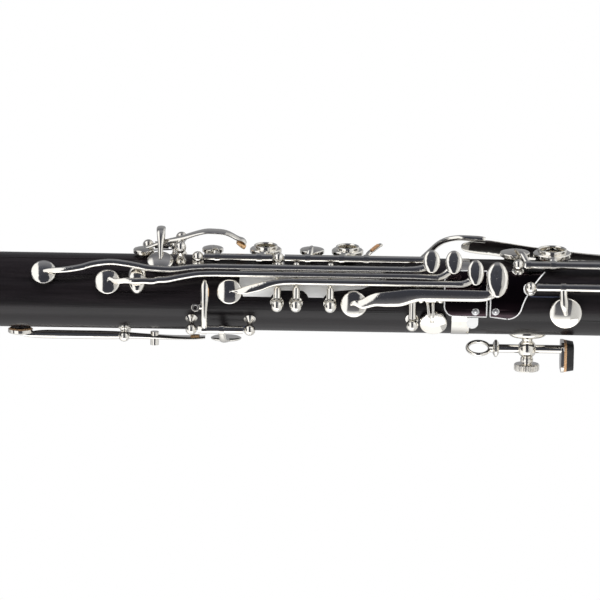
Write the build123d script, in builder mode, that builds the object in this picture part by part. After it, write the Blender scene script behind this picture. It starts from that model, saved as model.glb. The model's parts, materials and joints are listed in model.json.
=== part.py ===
"""A bass clarinet to low E flat, standing on its floor peg.

+Z runs up the instrument towards the mouthpiece, and the origin is the tip of the floor peg, on the body's axis.
The front, where the finger holes are, faces -Y, and the player stands at +Y.
Places round the body are given as (theta, r, z): theta is 0 on the player's right (-X), 90 at the front,
-90 at the back, and r is the distance from the body's axis. All lengths are in millimetres.
"""

import os
from math import atan2, cos, degrees, hypot, pi, radians, sin

from build123d import *

# ---- driving dimensions ---------------------------------------------------------------------------------------
BODY_R = 18.5  # outer radius of both wooden joints
BORE_R = 11.8  # inner radius of the air column
BELL_JOINT_Z = 205.0  # lower end of the lower joint
JOINT_Z = 608.6  # where the two wooden joints meet
CROWN_Z = 914.0  # upper end of the upper joint
TENON_LENGTH = 24.0
TENON_R = 15.2
SLIP = 0.05  # running clearance, on the radius
SEAT_R = BODY_R + 0.7  # rim of every tone-hole chimney
PAD_GAP = 0.2
PAD_THICKNESS = 1.8
CUP_HEIGHT = 3.3
CUP_TOP_R = SEAT_R + PAD_GAP + CUP_HEIGHT
CUP_WALL = 0.5
ROD_R = 1.0
SCREW_R = 0.7  # the short pivot screws
TUBE_R = 1.9
SLIM_TUBE_R = 1.35
BALL_R = 2.8
POST_ROOT = 3.0  # length of a post's thread in the wood
OPEN_DEG = 4.0  # how far the finger plates stand open
FRONT, BACK, RIGHT, LEFT = 90.0, -90.0, 0.0, 180.0
UP = Vector(0, 0, 1)

LH_HINGE = (62.0, 22.2)  # theta and r of the left hand's hinge rod
RH_HINGE = (53.0, 23.5)
SIDE_HINGE = (22.5, 24.0)
THUMB_HINGE = (-34.0, 25.9)
CS_HINGE = (5.0, 20.4)
LITTLE_HINGE = (150.0, 23.4)
LOW_F_HINGE = (35.0, 24.0)
LOW_E_HINGE = (128.0, 24.5)
THROAT_GS_HINGE = (122.0, 24.6)

TRILL_FACE = 30.0  # the trill levers lie in a plane that faces this way
TRILL_ROD_H = 20.9
TRILL_BAR_H = 24.7
TRILL_NEAR = -13.8  # where their near posts stand, across that plane
NEAR_BALL_R = 3.05
BAR = 3.2  # thickness of the round trill levers

PIECES = {}


# ---- places and planes ----------------------------------------------------------------------------------------
def outward(theta):
    """Unit vector that points away from the body's axis."""
    return Vector(-cos(radians(theta)), -sin(radians(theta)), 0)


def sideways(theta):
    """Unit vector round the body, towards a larger theta."""
    return Vector(sin(radians(theta)), -cos(radians(theta)), 0)


def polar(theta, r, z):
    return outward(theta) * r + UP * z


def facing(theta, across, height, z):
    """A point in the plane frame that faces theta: across is measured round the body, height from the axis."""
    return outward(theta) * height + sideways(theta) * across + UP * z


def to_polar(theta, across, height):
    """The theta and r of a point of that frame."""
    return theta + degrees(atan2(across, height)), hypot(across, height)


def face_plane(theta, r, z):
    """A plane that faces outwards, with its local x up the body."""
    return Plane(origin=polar(theta, r, z), x_dir=UP, z_dir=outward(theta))


def lathe_plane(origin, axis):
    """A plane whose local y is the axis of a turned piece and whose local x is its radius."""
    axis = axis.normalized()
    across = UP if abs(axis.dot(UP)) < 0.9 else Vector(1, 0, 0)
    across = (across - axis * across.dot(axis)).normalized()
    return Plane(origin=origin, x_dir=across, z_dir=across.cross(axis))


def keep(name, piece):
    """Names a finished piece and writes it to its own file."""
    piece.label = name
    PIECES[name] = piece
    export_step(piece, f"parts/{name}.step")


# ---- general shapes -------------------------------------------------------------------------------------------
def turned(origin, axis, *outline):
    """A solid of revolution. The outline is points (radius, height), and a point of four numbers is the middle and
    end of an arc."""
    with BuildPart() as piece:
        with BuildSketch(lathe_plane(origin, axis)):
            with BuildLine():
                here = outline[0]
                for step in outline[1:]:
                    if len(step) == 4:
                        ThreePointArc(here, step[:2], step[2:])
                        here = step[2:]
                    else:
                        Line(here, step)
                        here = step
                if here != outline[0]:
                    Line(here, outline[0])
            make_face()
        revolve(axis=Axis(origin, axis))
    return piece.part


def tube(start, end, outer_r, inner_r=0.0):
    with BuildPart() as piece:
        with BuildSketch(Plane(origin=start, z_dir=end - start)):
            Circle(outer_r)
            if inner_r:
                Circle(inner_r, mode=Mode.SUBTRACT)
        extrude(amount=(end - start).length)
    return piece.part


def eased(knots, values, at):
    """A smooth value through the knots that never overshoots them."""
    steps = [b - a for a, b in zip(knots, knots[1:])]
    slopes = [(b - a) / step for a, b, step in zip(values, values[1:], steps)]
    bends = [slopes[0]]
    for before, after in zip(slopes, slopes[1:]):
        bends.append(2 * before * after / (before + after) if before * after > 0 else 0.0)
    bends.append(slopes[-1])
    i = max(0, min(len(steps) - 1, sum(1 for knot in knots[1:-1] if knot <= at)))
    u = (at - knots[i]) / steps[i]
    rise = values[i] * (1 + 2 * u) * (1 - u) ** 2 + values[i + 1] * u * u * (3 - 2 * u)
    return rise + steps[i] * (bends[i] * u * (1 - u) ** 2 - bends[i + 1] * u * u * (1 - u))


def arm(points, sizes, across):
    """A smooth bar through the points, oval in section: sizes are (width along across, thickness)."""
    knots = [0.0]
    for a, b in zip(points, points[1:]):
        knots.append(knots[-1] + (b - a).length)
    count = max(len(points) + 1, round(knots[-1] / 4.0))
    columns = [[p.X for p in points], [p.Y for p in points], [p.Z for p in points]]
    columns += [[size[0] for size in sizes], [size[1] for size in sizes]]
    rows = []
    for i in range(count + 1):
        rows.append([eased(knots, column, knots[-1] * i / count) for column in columns])
    spots = [Vector(*row[:3]) for row in rows]
    with BuildPart() as piece:
        for i, row in enumerate(rows):
            along = spots[min(i + 1, count)] - spots[max(i - 1, 0)]
            with BuildSketch(Plane(origin=spots[i], x_dir=across, z_dir=along)):
                Ellipse(row[3] / 2, row[4] / 2)
        loft()
    return piece.part


def facing_arm(theta, *stations):
    """An arm that runs up the body. Each station is (z, across, height, width, thickness)."""
    points = [facing(theta, a, h, z) for z, a, h, _, _ in stations]
    return arm(points, [s[3:] for s in stations], sideways(theta))


def wrap_arm(*stations):
    """An arm that runs round the body. Each station is (theta, r, z, width, thickness)."""
    points = [polar(theta, r, z) for theta, r, z, _, _ in stations]
    return arm(points, [s[3:] for s in stations], UP)


def button(origin, normal, width, length, height):
    """A domed oval touchpiece with a thin rim. Its length lies as near as it can to UP."""
    unit = turned(
        Vector(0, 0, 0),
        UP,
        (0, 0),
        (0.86, 0),
        (1, 0.26),
        (0.99, 0.4),
        (0.9, 0.72, 0.72, 0.9),
        (0.4, 0.975, 0, 1),
    )
    domed = scale(unit, by=(length / 2, width / 2, height))
    return Plane(origin=origin, x_dir=UP, z_dir=normal).location * domed


def post(theta, r, z, ball_r=BALL_R):
    """A ball post, screwed into the wood, with its flared foot."""
    neck = 0.48 * ball_r
    neck_y = r - (ball_r**2 - neck**2) ** 0.5
    foot = BODY_R + 0.3
    return turned(
        polar(theta, 0, z),
        outward(theta),
        (0, BODY_R - POST_ROOT),
        (1.3, BODY_R - POST_ROOT),
        (1.3, BODY_R - 0.6),
        (1.08 * ball_r, BODY_R - 0.6),
        (1.08 * ball_r, foot),
        (neck + 0.35, foot + 0.45 * (neck_y - foot), neck, neck_y),
        (ball_r, r, 0, r + ball_r),
    )


def cup(theta, z, cup_r):
    """A pad cup over a tone hole: a shallow dome with a bevelled edge."""
    pad_r = cup_r - CUP_WALL
    return turned(
        polar(theta, SEAT_R + PAD_GAP, z),
        outward(theta),
        (0, PAD_THICKNESS),
        (pad_r, PAD_THICKNESS),
        (pad_r, 0.5),
        (cup_r, 0.5),
        (cup_r, 2.0),
        (cup_r - 0.3, 2.35),
        (0.6 * cup_r, 2.94, 0.16 * cup_r, CUP_HEIGHT),
        (0, CUP_HEIGHT),
    )


def ring_cup(theta, z, cup_r, hole_r):
    """A finger plate with an open centre and a raised collar round it."""
    pad_r = cup_r - CUP_WALL
    collar_r = hole_r + 1.2
    return turned(
        polar(theta, SEAT_R + PAD_GAP, z),
        outward(theta),
        (hole_r, PAD_THICKNESS),
        (pad_r, PAD_THICKNESS),
        (pad_r, 0.5),
        (cup_r, 0.5),
        (cup_r, 2.0),
        (cup_r - 0.5, 2.5),
        (collar_r, 2.7),
        (collar_r, 3.8),
        (collar_r - 0.25, 4.2, collar_r - 0.6, 4.25),
        (hole_r, 3.7),
    )


def pad(theta, z, cup_r, hole_r=0.0):
    """The bladder pad inside a cup."""
    pad_r = cup_r - CUP_WALL - 0.02
    return turned(
        polar(theta, SEAT_R + PAD_GAP, z),
        outward(theta),
        (hole_r, 0),
        (pad_r - 0.3, 0),
        (pad_r, 0.3),
        (pad_r, PAD_THICKNESS),
        (hole_r, PAD_THICKNESS),
    )


def hinge_tube(hinge, low, high, collars=(), tube_r=TUBE_R):
    """A key's tube round a rod that runs up the body, with a collar where each arm is soldered on."""
    with BuildPart() as piece:
        add(tube(polar(*hinge, low), polar(*hinge, high), tube_r))
        for z in collars:
            add(tube(polar(*hinge, z - 1.3), polar(*hinge, z + 1.3), tube_r + 0.45))
    return piece.part


def cup_arm(hinge, theta, z, width=3.0, rise=1.0, z_hinge=None):
    """The arm from a hinge tube to the middle of a cup, ending in a point."""
    hinge_theta, hinge_r = hinge
    z_hinge = z if z_hinge is None else z_hinge
    stations = []
    for share, swell, wide in ((0.0, 0.0, 1.0), (0.25, 0.7, 1.0), (0.5, 1.0, 0.92), (0.78, 0.75, 0.68), (1.0, 0.0, 0.36)):
        r = hinge_r + (CUP_TOP_R - 0.15 - hinge_r) * share + rise * swell
        place = (hinge_theta + (theta - hinge_theta) * share, r, z_hinge + (z - z_hinge) * share)
        stations.append((*place, width * wide, 1.7 - 0.8 * share))
    return wrap_arm(*stations)


def one_piece(name, *shapes, bore=None, turn=None):
    """Solders the shapes of one key together and clears its hinge's bore. The turn about the hinge goes from closed
    to its open rest."""
    with BuildPart() as piece:
        for shape in shapes:
            add(shape)
        if bore:
            add(bore, mode=Mode.SUBTRACT)
    made = piece.part
    if turn:
        made = made.rotate(*turn)
    keep(name, made)


def tube_key(name, hinge, low, high, collars, *shapes, turn=None, rod_r=ROD_R, tube_r=TUBE_R):
    """A key on a rod that runs up the body."""
    barrel = hinge_tube(hinge, low, high, collars, tube_r)
    bore = tube(polar(*hinge, low - 2), polar(*hinge, high + 2), rod_r + SLIP)
    one_piece(name, barrel, *shapes, bore=bore, turn=turn)


def rocking_key(name, pivot, near, slim_from, far, *shapes):
    """A key on a screw across the body. The pivot is (theta, height, z); its tube is thick where it shows and slim
    where other levers pass over it."""
    theta, rod_h, z = pivot
    low, mid, high = (facing(theta, a, rod_h, z) for a in (near, slim_from, far))
    across = sideways(theta)
    slim = tube(mid, high, SLIM_TUBE_R) if far - slim_from > 0.1 else None
    bore = tube(low - across * 2, high + across * 2, SCREW_R + SLIP)
    barrel = [tube(low, mid, TUBE_R)] + ([slim] if slim else [])
    one_piece(name, *barrel, *shapes, bore=bore)


def group(name, shapes):
    """Separate solids of one kind that share a file."""
    keep(name, Compound(children=[s for shape in shapes for s in shape.solids()]))


def rest_open(hinge, degrees_open):
    """The turn from closed to open about a hinge that runs up the body."""
    return Axis(polar(*hinge, 0), UP), degrees_open


# ---- tone holes: (theta, z, cup radius, hole radius), hole radius 0 under a closed cup ---------------------------
REGISTER_Z, REGISTER_CUP = 830.3, 6.2
TRILL_CUPS = ((35.0, 818.2, 6.1), (22.8, 786.7, 6.1), (12.0, 726.8, 6.1), (-2.2, 665.6, 6.5))
THROAT_A = (85.0, 769.5, 5.2)
THROAT_GS = (56.0, 761.1, 6.4)
LH1_RING, LH1_CUP = (90.0, 709.4, 7.8), (90.0, 735.5, 5.2)
LH2_RING, LH2_CUP = (90.0, 669.0, 7.8), (90.0, 686.5, 6.0)
RING_HOLE_R = 4.6
CS_CUP = (-29.3, 626.4, 6.7)
RH1_RING, RH1_CUP = (90.0, 568.0, 9.4), (90.0, 586.4, 7.4)
RH1_HOLE_R = 6.0
SIDE_CUP = (-10.0, 561.6, 7.9)
RH2_CUP = (90.0, 522.0, 9.5)
RH3_CUP = (90.0, 482.0, 9.5)
LITTLE_CUP = (142.0, 432.0, 9.0)
LITTLE_LEVER_PIVOT = (142.0, 502.0, 24.2)  # theta, z and height of its screw
LOW_F_CUP = (78.0, 372.0, 10.5)
LOW_E_CUP = (92.0, 300.0, 11.5)

UPPER_HOLES = [(BACK, REGISTER_Z, REGISTER_CUP), *TRILL_CUPS, THROAT_A, THROAT_GS, LH1_CUP, LH2_CUP, CS_CUP]
UPPER_RINGS = [(*LH1_RING, RING_HOLE_R), (*LH2_RING, RING_HOLE_R)]
LOWER_HOLES = [RH1_CUP, SIDE_CUP, RH2_CUP, RH3_CUP, LITTLE_CUP, LOW_F_CUP, LOW_E_CUP]
LOWER_RINGS = [(*RH1_RING, RH1_HOLE_R)]


def tone_hole_rims(holes, rings):
    """Each tone hole's raised rim."""
    spots = [(theta, z, 0.72 * cup_r) for theta, z, cup_r in holes]
    spots += [(theta, z, cup_r - 1.2) for theta, z, cup_r, _ in rings]
    return [tube(polar(theta, BORE_R + 2, z), polar(theta, SEAT_R, z), rim_r) for theta, z, rim_r in spots]


def tone_hole_bores(holes, rings):
    """Each tone hole, from outside its rim through to the air column."""
    spots = [(theta, z, 0.55 * cup_r) for theta, z, cup_r in holes]
    spots += [(theta, z, cup_r - 2.3) for theta, z, cup_r, _ in rings]
    return [tube(polar(theta, 1, z), polar(theta, SEAT_R + 5, z), hole_r) for theta, z, hole_r in spots]


def wooden_joints():
    """The two wooden joints. The lower one's tenon goes up into the upper one's socket."""
    ring_height, joint_ring = 11.0, 8.8
    with BuildPart() as upper:
        with BuildSketch(Plane.XY.offset(JOINT_Z)):
            Circle(BODY_R)
        extrude(amount=CROWN_Z - JOINT_Z)
        for rim in tone_hole_rims(UPPER_HOLES, UPPER_RINGS):
            add(rim)
        for hole in tone_hole_bores(UPPER_HOLES, UPPER_RINGS):
            add(hole, mode=Mode.SUBTRACT)
        add(tube(UP * (JOINT_Z - 1), UP * (CROWN_Z + 1), BORE_R), mode=Mode.SUBTRACT)
        add(tube(UP * (JOINT_Z - 1), UP * (JOINT_Z + TENON_LENGTH + 1), TENON_R + SLIP), mode=Mode.SUBTRACT)
        add(tube(UP * (CROWN_Z - TENON_LENGTH), UP * (CROWN_Z + 1), TENON_R + SLIP), mode=Mode.SUBTRACT)
        for low, high in ((JOINT_Z - 1, JOINT_Z + joint_ring), (CROWN_Z - ring_height, CROWN_Z + 1)):
            add(tube(UP * low, UP * high, BODY_R + 2, BODY_R - 1), mode=Mode.SUBTRACT)
    keep("upper_joint", upper.part)

    with BuildPart() as lower:
        with BuildSketch(Plane.XY.offset(BELL_JOINT_Z)):
            Circle(BODY_R)
        extrude(amount=JOINT_Z - BELL_JOINT_Z)
        for rim in tone_hole_rims(LOWER_HOLES, LOWER_RINGS):
            add(rim)
        for hole in tone_hole_bores(LOWER_HOLES, LOWER_RINGS):
            add(hole, mode=Mode.SUBTRACT)
        cork_r = TENON_R - 1.2
        for low in (BELL_JOINT_Z - TENON_LENGTH, JOINT_Z):
            add(tube(UP * low, UP * (low + TENON_LENGTH), cork_r))
            for lip in (low, low + TENON_LENGTH - 3):
                add(tube(UP * lip, UP * (lip + 3), TENON_R))
        add(tube(UP * (BELL_JOINT_Z - 40), UP * (JOINT_Z + 40), BORE_R), mode=Mode.SUBTRACT)
        band = tube(UP * (BELL_JOINT_Z - 1), UP * (BELL_JOINT_Z + 8), BODY_R + 2, BODY_R - 1)
        add(band, mode=Mode.SUBTRACT)
    keep("lower_joint", lower.part)

    corks = [
        tube(UP * (low + 3), UP * (low + TENON_LENGTH - 3), TENON_R, cork_r)
        for low in (BELL_JOINT_Z - TENON_LENGTH, JOINT_Z)
    ]
    group("tenon_corks", corks)

    rings = [
        tube(UP * JOINT_Z, UP * (JOINT_Z + joint_ring), BODY_R + 0.25, BODY_R - 1),
        turned(
            UP * (CROWN_Z - ring_height),
            UP,
            (BODY_R - 1, 0),
            (BODY_R + 0.4, 0),
            (BODY_R + 0.4, ring_height - 3),
            (BODY_R + 1.2, ring_height - 1.5, BODY_R + 0.2, ring_height + 1.5),
            (TENON_R + SLIP, ring_height + 1.5),
            (TENON_R + SLIP, ring_height),
            (BODY_R - 1, ring_height),
        ),
        tube(UP * BELL_JOINT_Z, UP * (BELL_JOINT_Z + 8), BODY_R + 0.3, BODY_R - 1),
    ]
    group("tenon_rings", rings)


# ---- neck, mouthpiece and bell ----------------------------------------------------------------------------------
def horn(path, radii):
    """A solid curved cone whose radius follows the list, evenly spaced along the path."""
    last = len(radii) - 1
    with BuildPart() as piece:
        for i, r in enumerate(radii):
            place, along = path.position_at(i / last), path.tangent_at(i / last)
            with BuildSketch(Plane(origin=place, x_dir=(1, 0, 0), z_dir=along)):
                Circle(r)
        loft()
    return piece.part


def neck():
    """The crook: it rises from the crown, bends over towards the player and ends in the mouthpiece's cork."""
    socket_z = CROWN_Z - TENON_LENGTH + 0.5
    start_z, end_r, wall, cork_length = CROWN_Z + 3, 8.2, 0.8, 26.0
    with BuildLine(Plane.YZ) as line:
        rise = Line((0, start_z), (0, CROWN_Z + 32))
        over = JernArc(rise @ 1, rise % 1, 46, -112)
        back = JernArc(over @ 1, over % 1, 58, 40)
        Line(back @ 1, back @ 1 + (back % 1) * 36)
    path = line.wire()
    bore = [max(end_r, 11.6 - 4.0 * i / 24) for i in range(25)]
    with BuildPart() as crook:
        add(horn(path, [r + wall for r in bore]))
        add(tube(UP * socket_z, UP * (start_z + 0.5), TENON_R - 1.2))
        for low in (socket_z, CROWN_Z - 1.5):
            add(tube(UP * low, UP * (low + 3), TENON_R - 0.1))
        collar = ((0, 1.8), (BODY_R - 1, 1.8), (BODY_R - 1, 3.2), (14.2, 5.0), (14.2, 9), (13.4, 10), (0, 10))
        add(turned(UP * CROWN_Z, UP, *collar))
        add(horn(path, bore), mode=Mode.SUBTRACT)
        add(tube(UP * (socket_z - 1), UP * (start_z + 2), 11.3), mode=Mode.SUBTRACT)
    keep("neck_tube", crook.part)
    end, along = path.position_at(1), path.tangent_at(1)
    cork_r = end_r + wall
    corks = [
        tube(end - along * (cork_length + 4), end - along * 4, cork_r + 2.2) - crook.part,
        tube(UP * (socket_z + 3), UP * (CROWN_Z - 1.5), TENON_R - 0.05, TENON_R - 1.2),
    ]
    corks[0] = max(corks[0].solids(), key=lambda solid: solid.bounding_box().size.Y)
    group("neck_corks", [Part(corks[0].wrapped), corks[1]])
    mouthpiece(end - along * (cork_length + 4), along, cork_r + 2.2 + SLIP)


def mouthpiece(start, along, socket_r):
    """Mouthpiece, reed and ligature. Locally x is level, y is up from the reed and z runs to the tip."""
    shank_r, length, table_y, reed_width = 14.4, 104.0, -10.6, 13.0
    place = Plane(origin=start, x_dir=(1, 0, 0), z_dir=along)
    if place.y_dir.Z < 0:
        place = Plane(origin=start, x_dir=(-1, 0, 0), z_dir=along)
    home = place.location

    blank = turned(
        Vector(0, 0, 0),
        UP,
        (socket_r, 0),
        (shank_r - 0.6, 0),
        (shank_r, 0.8),
        (shank_r, 8),
        (shank_r - 0.7, 9),
        (shank_r - 0.7, 12),
        (shank_r, 13),
        (shank_r, 50),
        (shank_r - 1.2, 80, shank_r - 4.2, length),
        (0, length),
        (0, 66),
        (8.0, 62),
        (8.0, 32),
        (socket_r, 31),
    )
    with BuildPart() as body:
        add(blank)
        with BuildSketch(Plane.YZ):
            with BuildLine():
                Polyline((table_y, 30), (-30, 30), (-30, length + 1), (table_y + 0.6, length + 1), (table_y, 80), close=True)
            make_face()
        extrude(amount=30, both=True, mode=Mode.SUBTRACT)
        with BuildSketch(Plane.YZ):
            with BuildLine():
                beak = ThreePointArc((16, 60), (3.5, 82), (table_y + 2.0, length + 0.5))
                Polyline(beak @ 1, (30, length + 0.5), (30, 60), (16, 60))
            make_face()
        extrude(amount=30, both=True, mode=Mode.SUBTRACT)
        with BuildSketch(Plane.XZ.offset(-table_y - 3)):
            with Locations((0, 79)):
                RectangleRounded(10.5, 42, 2.5)
        extrude(amount=8, mode=Mode.SUBTRACT)
    keep("mouthpiece", home * body.part)

    with BuildPart() as reed:
        with BuildSketch(Plane.YZ):
            with BuildLine():
                heel, tip, flat = 34.0, length - 0.6, table_y - 0.05
                Polyline((flat, heel), (flat, 79), (flat + 0.4, tip), (flat + 0.15, tip), (flat - 1.2, 84), (flat - 2.5, 68))
                Polyline((flat - 2.5, 68), (flat - 2.6, heel), (flat, heel))
            make_face()
        extrude(amount=reed_width / 2, both=True)
        add(tube(Vector(0, 2.6, 20), Vector(0, 2.6, length + 5), 16.3), mode=Mode.INTERSECT)
    keep("reed", home * reed.part)

    low, high, inner_r = 37.0, 61.0, shank_r + 0.45
    with BuildPart() as band:
        add(tube(Vector(0, 0, low), Vector(0, 0, high), inner_r + 0.7, inner_r))
        for z in (low + 1.2, high - 1.2):
            add(tube(Vector(0, 0, z - 1.2), Vector(0, 0, z + 1.2), inner_r + 1.3, inner_r))
        with Locations((0, inner_r + 3, (low + high) / 2)):
            Box(3.0, 8, high - low + 2, mode=Mode.SUBTRACT)
        for z in (low + 5.5, high - 5.5):
            for side in (-1, 1):
                add(tube(Vector(side * 1.9, inner_r + 2.6, z), Vector(side * 5.4, inner_r + 2.6, z), 2.5, 1.35))
        add(tube(Vector(0, 0, low - 1), Vector(0, 0, high + 1), inner_r), mode=Mode.SUBTRACT)
    keep("ligature", home * band.part)
    screws = []
    for z in (low + 5.5, high - 5.5):
        centre = Vector(0, inner_r + 2.6, z)
        shaft = tube(centre - Vector(6.4, 0, 0), centre + Vector(8.4, 0, 0), 1.3)
        knob = turned(centre + Vector(8, 0, 0), Vector(1, 0, 0), (0, 0), (2.2, 0), (4.3, 1.2), (4.3, 4.6), (3.8, 5.2), (0, 5.2))
        with BuildPart() as screw:
            add(shaft)
            add(knob)
        screws.append(home * screw.part)
    group("ligature_screws", screws)


def bell():
    """The bell turns up at the front and flares. Its collar takes the lower joint's tenon."""
    with BuildLine(Plane.YZ) as line:
        drop = Line((0, BELL_JOINT_Z - TENON_LENGTH - 2), (0, 166))
        bow = JernArc(drop @ 1, drop % 1, 37, -160)
        Line(bow @ 1, bow @ 1 + (bow % 1) * 92)
    path = line.wire()
    count = 30
    radii = []
    for i in range(count + 1):
        along = i / count
        radii.append(12.0 + 8.0 * along + 42.0 * along**6.5)
    wall = 0.9
    mouth, normal = path.position_at(1), path.tangent_at(1)
    rim_r = radii[-1] + wall
    low = BELL_JOINT_Z - TENON_LENGTH - 3
    depth = BELL_JOINT_Z - low
    with BuildPart() as piece:
        add(horn(path, [r + wall for r in radii]))
        add(turned(mouth, normal, (0, -0.9), (rim_r - 0.3, -0.9), (rim_r + 1.6, 0, rim_r - 0.3, 0.9), (0, 0.9)))
        collar = ((0, 0), (13.4, 0), (16.2, 2.2), (16.2, 20), (18.4, 21.5), (18.4, depth), (0, depth))
        add(turned(UP * low, UP, *collar))
        add(horn(path, radii), mode=Mode.SUBTRACT)
        add(tube(mouth - normal * 0.5, mouth + normal * 3, radii[-1]), mode=Mode.SUBTRACT)
        add(tube(UP * (low + 2.9), UP * (BELL_JOINT_Z + 1), TENON_R + SLIP), mode=Mode.SUBTRACT)
        add(tube(UP * (low - 0.5), UP * (low + 4), 12.0), mode=Mode.SUBTRACT)
    keep("bell", piece.part)


def floor_peg():
    """The peg slides in a holder under the bell's bow, held by a thumbscrew."""
    peg_r, holder_r, low, high = 4.0, 7.0, 78.0, 118.0
    with BuildPart() as holder:
        add(tube(UP * low, UP * high, holder_r, peg_r + 0.1))
        for z in (low, high - 4):
            add(tube(UP * z, UP * (z + 4), holder_r + 1.3, peg_r + 0.1))
        add(turned(UP * high, UP, (0, 0), (holder_r, 0), (holder_r, 3), (4.2, 9.5), (0, 9.5)))
        add(arm([Vector(0, y, z) for y, z in ((-5, 108), (-13, 111), (-24, 114.5))], [(9, 5), (8, 4), (9, 4)], Vector(1, 0, 0)))
        screw_z = low + 9
        add(tube(Vector(0, -4.6, screw_z), Vector(0, -12.5, screw_z), 4.0))
        add(tube(Vector(0, 0, screw_z), Vector(0, -20, screw_z), 2.05 + SLIP), mode=Mode.SUBTRACT)
        add(tube(UP * (low - 1), UP * (high - 1), peg_r + 0.1), mode=Mode.SUBTRACT)
    trimmed = holder.part - PIECES["bell"]
    keep("peg_holder", max(trimmed.solids(), key=lambda solid: solid.volume))

    peg = turned(UP * 9, UP, (0, 0), (peg_r, 0), (peg_r, high - 14 - 9), (peg_r - 0.8, high - 13 - 9), (0, high - 13 - 9))
    keep("floor_peg", peg)
    tip = turned(Vector(0, 0, 0), UP, (0, 0), (4.2, 0), (5.6, 1.6, 6.2, 4.0), (6.2, 15), (5.4, 18), (peg_r, 18), (peg_r, 9), (0, 9))
    keep("peg_tip", tip)
    head = turned(
        Vector(0, -4.3, screw_z),
        Vector(0, -1, 0),
        (0, 0),
        (2.05, 0),
        (2.05, 10.5),
        (3.2, 10.5),
        (8.0, 12.5),
        (8.0, 16.0),
        (7.2, 17.0),
        (0, 17.0),
    )
    keep("peg_screw", head)


# ---- thumb rest ---------------------------------------------------------------------------------------------------
THUMB_ROD_H = 26.0
THUMB_BALL_Z = 579.2


def thumb_rest():
    """A rod with the strap ring on one end and the thumb hook on the other, clamped in a ball on the back."""
    ball = polar(BACK, THUMB_ROD_H, THUMB_BALL_Z)
    out = outward(BACK)
    rod_r = 2.1
    shield = button(polar(BACK, BODY_R - 2.2, THUMB_BALL_Z), out, 12.0, 19.0, 4.3)
    with BuildPart() as base:
        add(shield)
        add(tube(UP * (THUMB_BALL_Z - 20), UP * (THUMB_BALL_Z + 20), BODY_R), mode=Mode.SUBTRACT)
        add(
            turned(
                Vector(0, 0, THUMB_BALL_Z),
                out,
                (0, BODY_R + 0.4),
                (4.6, BODY_R + 0.9),
                (3.0, BODY_R + 2.2, 2.6, THUMB_ROD_H - 4.0),
                (4.8, THUMB_ROD_H, 2.6, THUMB_ROD_H + 4.0),
                (3.2, THUMB_ROD_H + 4.7),
                (3.2, THUMB_ROD_H + 6.4),
                (0, THUMB_ROD_H + 6.4),
            )
        )
        add(tube(ball - UP * 8, ball + UP * 8, rod_r + SLIP), mode=Mode.SUBTRACT)
        add(tube(ball + out * 2.0, ball + out * 10, 1.3 + SLIP), mode=Mode.SUBTRACT)
    keep("thumb_rest_base", base.part)

    top, bottom = THUMB_BALL_Z + 15.4, THUMB_BALL_Z - 16.6
    ring_r, wire_r, ring_faces = 5.5, 0.9, 66.0
    centre = polar(BACK, THUMB_ROD_H, top + 3.2 + ring_r)
    tilt = outward(ring_faces)
    with BuildPart() as rod:
        add(tube(polar(BACK, THUMB_ROD_H, bottom), polar(BACK, THUMB_ROD_H, top + 3.4), rod_r))
        add(turned(polar(BACK, THUMB_ROD_H, top - 1.4), UP, (0, 0), (2.6, 0), (4.3, 1.0), (4.3, 2.0), (2.6, 3.0), (0, 3.0)))
        with BuildSketch(Plane(origin=centre - UP * ring_r, x_dir=outward(BACK), z_dir=UP.cross(tilt))):
            Circle(wire_r)
        revolve(axis=Axis(centre, tilt))
        with BuildSketch(Plane(origin=polar(BACK, THUMB_ROD_H, bottom), x_dir=sideways(BACK), z_dir=-UP)):
            with Locations((0, 3.2)):
                RectangleRounded(17.0, 15.0, 4.0)
        extrude(amount=1.5)
    keep("thumb_rest_rod", rod.part)

    with BuildPart() as cork:
        with BuildSketch(Plane(origin=polar(BACK, THUMB_ROD_H, bottom - 1.5), x_dir=sideways(BACK), z_dir=-UP)):
            with Locations((0, 3.2)):
                RectangleRounded(16.6, 14.6, 3.8)
        extrude(amount=4.8, taper=10)
    keep("thumb_rest_cork", cork.part)

    with BuildPart() as screw:
        add(tube(ball + out * 2.45, ball + out * 7, 1.3))
        add(turned(ball + out * 6.6, out, (0, 0), (2.6, 0), (2.6, 0.7), (5.9, 0.9), (6.3, 1.4), (6.3, 3.8), (5.9, 4.3), (0, 4.3)))
        knurl = tube(Vector(6.35, 0, -1), Vector(6.35, 0, 6), 0.32)
        place = Plane(origin=ball + out * 6.6, z_dir=out).location
        for i in range(26):
            add(place * (Rot(0, 0, i * 360 / 26) * knurl), mode=Mode.SUBTRACT)
    keep("thumb_rest_screw", screw.part)


# ---- the four trill keys ------------------------------------------------------------------------------------------
TRILL_PIVOTS = (703.4, 694.1, 677.3)
LEVER_4_FACE, LEVER_4_PIVOT, LEVER_4_ROD_H = 0.0, 636.9, 21.0
LANE_1, LANE_2, LANE_3 = 4.6, 1.1, -2.5  # where the three long bars run, across the trill plane


def straight_run(start, end, lane, count):
    """Stations of a round bar along its lane."""
    return [(start + (end - start) * i / count, lane, TRILL_BAR_H, BAR, BAR - 0.1) for i in range(count + 1)]


def pad_end(theta, cup_spot, side):
    """The pointed end of a lever on its cup: two stations, the outer first. side is +1 if the lever goes down."""
    cup_theta, z, _ = cup_spot
    across = CUP_TOP_R * sin(radians(cup_theta - theta))
    height = CUP_TOP_R * cos(radians(cup_theta - theta))
    return across, height, z, side


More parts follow.
